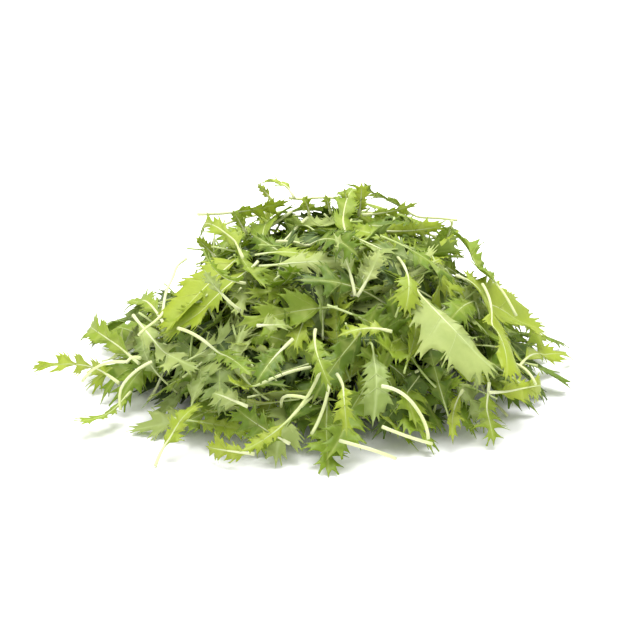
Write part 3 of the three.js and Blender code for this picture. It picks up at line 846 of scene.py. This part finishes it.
class Nodes:
    def __init__(self, name):
        self.material = bpy.data.materials.new(name)
        self.material.use_nodes = True
        self.tree = self.material.node_tree
        self.tree.nodes.clear()

    def add(self, kind, settings=None, **inputs):
        node = self.tree.nodes.new(kind)
        for key, value in (settings or {}).items():
            setattr(node, key, value)
        for key, value in inputs.items():
            socket = node.inputs[int(key[1:])] if key[0] == "_" else node.inputs[key.replace("_", " ")]
            if isinstance(value, bpy.types.NodeSocket):
                self.tree.links.new(value, socket)
            else:
                socket.default_value = value
        return node.outputs[0] if len(node.outputs) else None

    def attribute(self, name):
        node = self.tree.nodes.new("ShaderNodeAttribute")
        node.attribute_name = name
        return node.outputs["Fac"]

    def ramp(self, value, *stops):
        node = self.tree.nodes.new("ShaderNodeValToRGB")
        self.tree.links.new(value, node.inputs[0])
        elements = node.color_ramp.elements
        while len(elements) < len(stops):
            elements.new(1)
        for element, (at, c) in zip(elements, stops):
            element.position = at
            element.color = c
        return node.outputs[0]

    def mix(self, share, a, b):
        return self.add("ShaderNodeMixRGB", _0=share, _1=a, _2=b)

    def math(self, operation, a, b=0.0, clamp=False):
        return self.add("ShaderNodeMath", {"operation": operation, "use_clamp": clamp}, _0=a, _1=b)

    def noise(self, scale, detail=3.0):
        coordinates = self.tree.nodes.new("ShaderNodeTexCoord").outputs["Object"]
        return self.add("ShaderNodeTexNoise", Vector=coordinates, Scale=scale, Detail=detail)


def leaf_material(name, shades, through, vein, roughness, thin):
    """A leaf's face: shades from deep to bright by the leaf's tint, which is partly the leaf's own colour and
    partly painted shade and painted light; lighter at the veins, lit from behind.
    """
    n = Nodes(name)
    tint = n.attribute("tint")
    patch = n.noise(55.0, 4.0)
    shade = n.math("ADD", tint, n.math("MULTIPLY", n.math("SUBTRACT", patch, 0.5), 0.55), clamp=True)
    base = n.ramp(shade, *[(at, colour(*c)) for at, c in shades])
    near = n.math("SUBTRACT", 1.0, n.math("MULTIPLY", n.attribute("rib"), 0.75), clamp=True)
    base = n.mix(n.math("MULTIPLY", near, 0.38), base, colour(*vein))
    fleck = n.noise(420.0, 2.0)
    base = n.mix(n.math("MULTIPLY", fleck, 0.35), base, n.mix(0.5, base, colour(*shades[0][1])))
    height = n.math("ADD", n.math("MULTIPLY", near, -0.6), n.math("MULTIPLY", n.noise(260.0, 5.0), 0.5))
    bump = n.add("ShaderNodeBump", Strength=0.35, Distance=0.0012, Height=height)
    rough = n.math("ADD", n.math("MULTIPLY", fleck, 0.2), roughness)
    front = n.add("ShaderNodeBsdfPrincipled", Base_Color=base, Roughness=rough, Normal=bump)
    light = n.mix(0.55, base, colour(*through))
    behind = n.add("ShaderNodeBsdfTranslucent", Color=light, Normal=bump)
    both = n.add("ShaderNodeMixShader", _0=thin, _1=front, _2=behind)
    n.add("ShaderNodeOutputMaterial", Surface=both)
    return n.material


def stalk_material():
    n = Nodes("mizuna stalk")
    tint = n.attribute("tint")
    streak = n.noise(300.0, 3.0)
    patch = n.noise(40.0, 2.0)
    base = n.ramp(patch, (0.3, colour(224, 230, 166)), (0.7, colour(245, 245, 214)))
    base = n.mix(n.math("MULTIPLY", streak, 0.3), base, colour(230, 234, 178))
    base = n.mix(n.math("MULTIPLY", tint, 0.8), base, colour(160, 186, 72))
    green = n.math("MULTIPLY", n.math("SUBTRACT", n.attribute("along"), 0.35, clamp=True), 1.3)
    base = n.mix(green, base, colour(164, 194, 66))
    bump = n.add("ShaderNodeBump", Strength=0.2, Distance=0.0006, Height=streak)
    rough = n.math("ADD", n.math("MULTIPLY", patch, 0.15), 0.36)
    front = n.add("ShaderNodeBsdfPrincipled", Base_Color=base, Roughness=rough, Normal=bump)
    behind = n.add("ShaderNodeBsdfTranslucent", Color=base)
    both = n.add("ShaderNodeMixShader", _0=0.3, _1=front, _2=behind)
    n.add("ShaderNodeOutputMaterial", Surface=both)
    return n.material


# The deep end of each ramp is painted shade and the bright end painted light; between them the tint is also
# the leaves' own spread of greens.
UPPER = leaf_material(
    "mizuna leaf upper face",
    [(0.0, (62, 90, 12)), (0.35, (122, 150, 38)), (0.65, (160, 181, 54)), (1.0, (176, 191, 54))],
    through=(186, 204, 26), vein=(206, 214, 118), roughness=0.42, thin=0.42,
)
UNDER = leaf_material(
    "mizuna leaf under face",
    [(0.0, (112, 136, 62)), (0.35, (151, 169, 88)), (0.65, (180, 192, 112)), (1.0, (201, 208, 132))],
    through=(198, 222, 90), vein=(214, 226, 164), roughness=0.55, thin=0.38,
)
# A darker copy of the leaf material that lets less light through: painted shade for the leaves pressed deep
# in the heap's middle.
SHADED_INSIDE = leaf_material(
    "mizuna leaf in painted shade",
    [(0.0, (38, 56, 10)), (0.35, (72, 96, 24)), (0.65, (108, 132, 38)), (1.0, (140, 160, 58))],
    through=(120, 150, 20), vein=(150, 166, 84), roughness=0.55, thin=0.2,
)
STALK = stalk_material()
MATERIALS = [UPPER, UNDER, STALK]
# A leaf's tint: partly its own green, partly painted shade (deep) and painted light (bright). On a stalk it
# is how green the stalk is.
TINTS_AND_LIGHT = {"deep": 0.25, "green": 0.5, "bright": 0.85, "pale": 0.55, "stalk": 0.5}


# The heap

DETAIL_SEED = 401
CORE_LEAVES = 110
CORE_TRIES = 8
CORE_OVER = 4
CORE_BLADES = 70
LEAVES_BETWEEN = 280
BETWEEN_TRIES = 12
OUTLINE_SEEDS = 200
OUTLINE_RISE = 3

draw = seeded(SEED)
detail = seeded(DETAIL_SEED)
ground = start_ground(CORE)
BARE = ground.copy()
laid = []


def finish_piece(mesh, name, node, materials=MATERIALS):
    piece = mesh.build(name, materials)
    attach(piece, "root")
    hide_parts(node)


def stand(leaf):
    """Keeps a leaf in its plane, with nothing under it that bends or lowers it."""
    leaf.stands = True
    leaf.drop = leaf.root_drop = 0


def leaf_samples(leaf):
    faces = face_triangles(leaf).reshape(-1, 2)
    return sampled(in_heap(leaf, faces[:, 0], faces[:, 1]).reshape(-1, 3, 3))


def any_way(draw, most_rise, most_roll):
    """Axes of a leaf that points anywhere, with limits to how steeply it rises and how far it rolls over."""
    heading = draw(-math.pi, math.pi)
    rise = draw(-most_rise, most_rise)
    roll = draw(-most_roll, most_roll)
    along = np.array([
        math.cos(heading) * math.cos(rise),
        math.sin(heading) * math.cos(rise),
        math.sin(rise),
    ])
    level = np.array([-math.sin(heading), math.cos(heading), 0])
    return along, level * math.cos(roll) + np.cross(along, level) * math.sin(roll)


def fill_core():
    """Leaves pressed together in the heap's middle, where the frame has its core."""
    mesh = Mesh()
    below = start_ground((0.6, 0.5, 0.55))
    for _ in range(CORE_LEAVES):
        leaf = draw_leaf(detail)
        best = None
        for _ in range(CORE_TRIES):
            x, y, _ = draw_spot(detail, 0.75)
            need = heap_height(x, y, CORE) - top_under(below, x, y)
            if best is None or need > best[0]:
                best = (need, x, y, detail(-math.pi, math.pi))
        plane_over(below, leaf, *best[1:])
        before = below.copy()
        top = lay(below, leaf).samples
        if (top[:, 2] - heap_height(top[:, 0], top[:, 1])).max() > CORE_OVER:
            below = before
            continue
        # Tints low on the darker ramp: more painted shade in the heap's middle.
        add_leaf(mesh, leaf, detail, detail(0, 0.5), pale_up=detail() < 0.3, veins=False)
    for _ in range(CORE_BLADES):
        leaf = draw_leaf(detail, stalk=6, blade=detail(60, 80), left=detail(20, 30), right=detail(20, 30))
        stand(leaf)
        x, y, _ = draw_spot(detail, 0.62)
        middle = np.array([x, y, heap_height(x, y, CORE) * detail(0.25, 0.7)])
        set_plane(leaf, middle, *any_way(detail, 0.6, 0.9))
        leaf.middle[2] += max(0, 2 - leaf_samples(leaf)[:, 2].min())
        # The standing blades get the lowest tints: painted shade.
        add_leaf(mesh, leaf, detail, detail(0, 0.3), veins=False)
    return mesh


finish_piece(fill_core(), "leaves_in_the_middle", "inner_leaves", [SHADED_INSIDE, SHADED_INSIDE, STALK])

inner = Mesh()
for k in range(INNER_LEAVES):
    leaf = draw_leaf(draw, left=draw(11, 17), right=draw(11, 17), lobes=3 if k % 2 else 2)
    spot = foot_spot(draw, k) if k < FOOT_LEAVES else choose_spot(ground, draw, leaf, True)
    plane_over(ground, leaf, *spot)
    laid.append(lay(ground, leaf, rooted=True))
    add_leaf(
        inner, leaf, detail, detail(0.15, 0.8), detail() < 0.3, stalk_green=detail(0.3, 0.9), thick=0.8
    )
finish_piece(inner, "inner_leaves_fine", "inner_leaves")

for k, given in enumerate(SEEN):
    name, tint = given["name"], given["tint"]
    own = seeded(SEED + SEED_STEP * given.get("own", k + 1))
    leaf = draw_leaf(own, **{"lobes": 0 if tint == "stalk" else 3, **given})
    laid.append(lay(ground, leaf))
    mesh = Mesh()
    add_leaf(mesh, leaf, detail, TINTS_AND_LIGHT[tint] + detail(-0.1, 0.1), pale_up=tint == "pale")
    finish_piece(mesh, name + "_fine", name)

for k, number in enumerate(SPARE_LEAVES):
    own = seeded(SEED + SEED_STEP * number)
    leaf = draw_leaf(own, curl=own(-8, 4), arch=own(-2, 5))
    plane_over(ground, leaf, *choose_spot(ground, own, leaf, False))
    laid.append(lay(ground, leaf))
    mesh = Mesh()
    tint = ["deep", "green", "bright"][k % 3]
    add_leaf(mesh, leaf, detail, TINTS_AND_LIGHT[tint])
    finish_piece(mesh, f"leaf_loose_{k + 1}_fine", f"leaf_loose_{k + 1}")


class Space:
    """The room in the heap, as small cubes that are taken or free."""

    CUBE = 3
    CUBES = (136, 122, 54)
    LOW = np.array([-204, -183, 0])
    OVER = 3
    LOWEST = 1
    PENALTY = 3

    def __init__(self):
        self.taken = np.zeros(self.CUBES, bool)

    def cubes(self, p):
        cubes = np.floor((p - self.LOW) / self.CUBE).astype(int)
        return tuple(np.clip(cubes, 0, np.array(self.taken.shape) - 1).T)

    def take(self, p):
        self.taken[self.cubes(p)] = True

    def crossing(self, p):
        """How much of some points is in taken cubes or outside the heap."""
        above = p[:, 2] - heap_height(p[:, 0], p[:, 1])
        outside = (above > self.OVER) | (p[:, 2] < self.LOWEST)
        return self.taken[self.cubes(p)].mean() + self.PENALTY * outside.mean()


def put_freely(space, draw, leaf, tries, low, high):
    """Puts a leaf in the heap any way round, where it crosses least."""
    stand(leaf)
    best = None
    for _ in range(tries):
        x, y, _ = draw_spot(draw, 0.97)
        z = heap_height(x, y) * draw(low, high)
        set_plane(leaf, np.array([x, y, max(z, 6)]), *any_way(draw, 1.1, 1.2))
        score = space.crossing(leaf_samples(leaf))
        if best is None or score < best[0]:
            best = (score, leaf.middle, leaf.along, leaf.across)
    set_plane(leaf, *best[1:])
    leaf.middle[2] += max(0, 1.5 - leaf_samples(leaf)[:, 2].min())
    space.take(leaf_samples(leaf))


space = Space()
for leaf in laid:
    space.take(leaf.samples)
more = Mesh()
for k in range(LEAVES_BETWEEN):
    leaf = draw_leaf(detail, stalk=detail(6, 24), blade=detail(34, 60), lobes=3 if k % 2 else 2)
    leaf.bend *= 1.3
    put_freely(space, detail, leaf, BETWEEN_TRIES, 0.5, 0.97)
    add_leaf(
        more, leaf, detail, detail(0.15, 0.95), detail() < 0.3, stalk_green=detail(0.3, 1), thick=0.65
    )
finish_piece(more, "leaves_between", "inner_leaves")


# A few more leaves that are seen well. Those with a depth stand up out of the heap there, facing the eye, and
# make its outline; the others lie on the heap.
MORE = [
    dict(tint=0.8, start=(-86, 74), end=(-20, 84), depth=24, stalk=26, left=8, right=9, cut=0.4, rolled=0.6),
    dict(
        tint=0.9, start=(-34, 84), end=(-46, 96), depth=24,
        stalk=4, left=4, right=4, curl=6, lobes=2, rolled=0.2,
    ),
    dict(tint=0.85, start=(29, 74), end=(31, 97), depth=26, stalk=3, left=9, right=9, cut=0.35, rolled=-0.3),
    dict(tint=0.8, start=(18, 76), end=(16, 94), depth=26, stalk=4, left=4, right=4, lobes=2, rolled=0.4),
    dict(tint=0.7, start=(9, 76), end=(5, 90), depth=22, stalk=4, left=4, right=4, lobes=2, rolled=-0.4),
    dict(tint=0.75, start=(-8, 74), end=(-13, 88), depth=22, stalk=4, left=6, right=6, lobes=2, rolled=0.3),
    dict(tint=0.6, start=(-50, 62), end=(-60, 79), depth=16, stalk=5, left=6, right=7, lobes=2, rolled=-0.5),
    dict(tint=0.7, start=(30, 74), end=(70, 83), depth=18, stalk=6, left=6, right=7, rolled=0.5),
    dict(tint=0.85, start=(36, 62), end=(90, 66), depth=8, stalk=8, left=10, right=7, cut=0.35, rolled=0.3),
    dict(tint=0.4, start=(64, 28), end=(80, 52), depth=-6, stalk=5, left=9, right=8, cut=0.4, rolled=0.3),
    dict(
        tint=0.75, start=(-72, 42), end=(-90, 58), depth=6,
        stalk=7, left=5, right=6, curl=6, lobes=2, rolled=0.3,
    ),
    dict(tint=0.95, start=(-50, 46), end=(-108, -12), stalk=6, left=11, right=19, cut=0.3, fan=0.2, closed=1),
    dict(tint=0.6, start=(24, 16), end=(9, 60), stalk=16, left=6, right=8, pale=True, cut=0.35, lobes=2),
    dict(tint=0.7, start=(26, 16), end=(42, 49), stalk=12, left=6, right=7, pale=True, cut=0.35, lobes=2),
]


def at_depth(place, y):
    """The point at a place in the view that is y behind the heap's middle."""
    ray = CENTRE + VIEW_UP * place[1] - EYE
    ray[0] += place[0]
    return EYE + ray * (y - EYE[1]) / ray[1]


def stand_up(leaf):
    """Puts a leaf in the plane that faces the eye, rolled about its rib."""
    root, tip = at_depth(leaf.start, leaf.depth), at_depth(leaf.end, leaf.depth)
    along = unit(tip - root)
    facing = unit(EYE - root)
    level = unit(np.cross(facing, along))
    across = level * math.cos(leaf.rolled) + facing * math.sin(leaf.rolled)
    set_plane(leaf, (root + tip) / 2, along, across)


more_seen = Mesh()
for k, given in enumerate(MORE):
    shape = {"pale": False, "bend": 0.3, "twist": 0.1, "curl": 0, "arch": 1, **given}
    if "depth" in given:
        span = at_depth(given["end"], given["depth"]) - at_depth(given["start"], given["depth"])
        shape["blade"] = np.linalg.norm(span) - given["stalk"]
    leaf = draw_leaf(seeded(SEED + SEED_STEP * (OUTLINE_SEEDS + k)), **shape)
    if "depth" in given:
        stand_up(leaf)
    stand(leaf)
    leaf.middle = leaf.middle + leaf.normal * OUTLINE_RISE
    add_leaf(more_seen, leaf, detail, leaf.tint, pale_up=leaf.pale)
finish_piece(more_seen, "leaves_on_the_outline", "inner_leaves")


# Floor, light and camera, in metres

FLOOR_HALF_SIZE = 5
FLOOR_GAP = 0.0002
LOOKED_AT = (0, 0, 0.05)
LENS = 96
SENSOR = 36


def make_floor():
    n = Nodes("floor")
    base = n.ramp(n.noise(3.0), (0.3, colour(246, 246, 246)), (0.7, colour(250, 250, 250)))
    front = n.add("ShaderNodeBsdfPrincipled", Base_Color=base, Roughness=0.9)
    n.add("ShaderNodeOutputMaterial", Surface=front)
    mesh = bpy.data.meshes.new("floor")
    square = [(-1, -1), (1, -1), (1, 1), (-1, 1)]
    corners = [(x * FLOOR_HALF_SIZE, y * FLOOR_HALF_SIZE, 0) for x, y in square]
    mesh.from_pydata(corners, [], [(0, 1, 2, 3)])
    mesh.materials.append(n.material)
    floor = bpy.data.objects.new("floor", mesh)
    bpy.context.collection.objects.link(floor)
    floor.location.z = cad_box[0][2] - FLOOR_GAP


def add_light(name, place, size, power):
    light = bpy.data.lights.new(name, "AREA")
    light.shape = "DISK"
    light.size = size
    light.energy = power
    lamp = bpy.data.objects.new(name, light)
    lamp.location = place
    lamp.rotation_euler = (Vector(LOOKED_AT) - Vector(place)).to_track_quat("-Z", "Y").to_euler()
    bpy.context.collection.objects.link(lamp)


make_floor()
add_light("light above", (0.15, 0.3, 1.7), 1.2, 46)
add_light("light left", (-1.4, -1.0, 1.2), 1.2, 9)
world = bpy.data.worlds.new("studio")
world.use_nodes = True
world.node_tree.nodes["Background"].inputs["Color"].default_value = (1, 1, 1, 1)
world.node_tree.nodes["Background"].inputs["Strength"].default_value = 1.0
bpy.context.scene.world = world
bpy.context.scene.view_settings.view_transform = "Standard"

camera = bpy.data.cameras.new("camera")
camera.lens = LENS
camera.sensor_width = SENSOR
eye = bpy.data.objects.new("camera", camera)
eye.location = Vector(EYE) * MM
eye.rotation_euler = (Vector(CENTRE) - Vector(EYE)).to_track_quat("-Z", "Y").to_euler()
bpy.context.collection.objects.link(eye)
bpy.context.scene.camera = eye
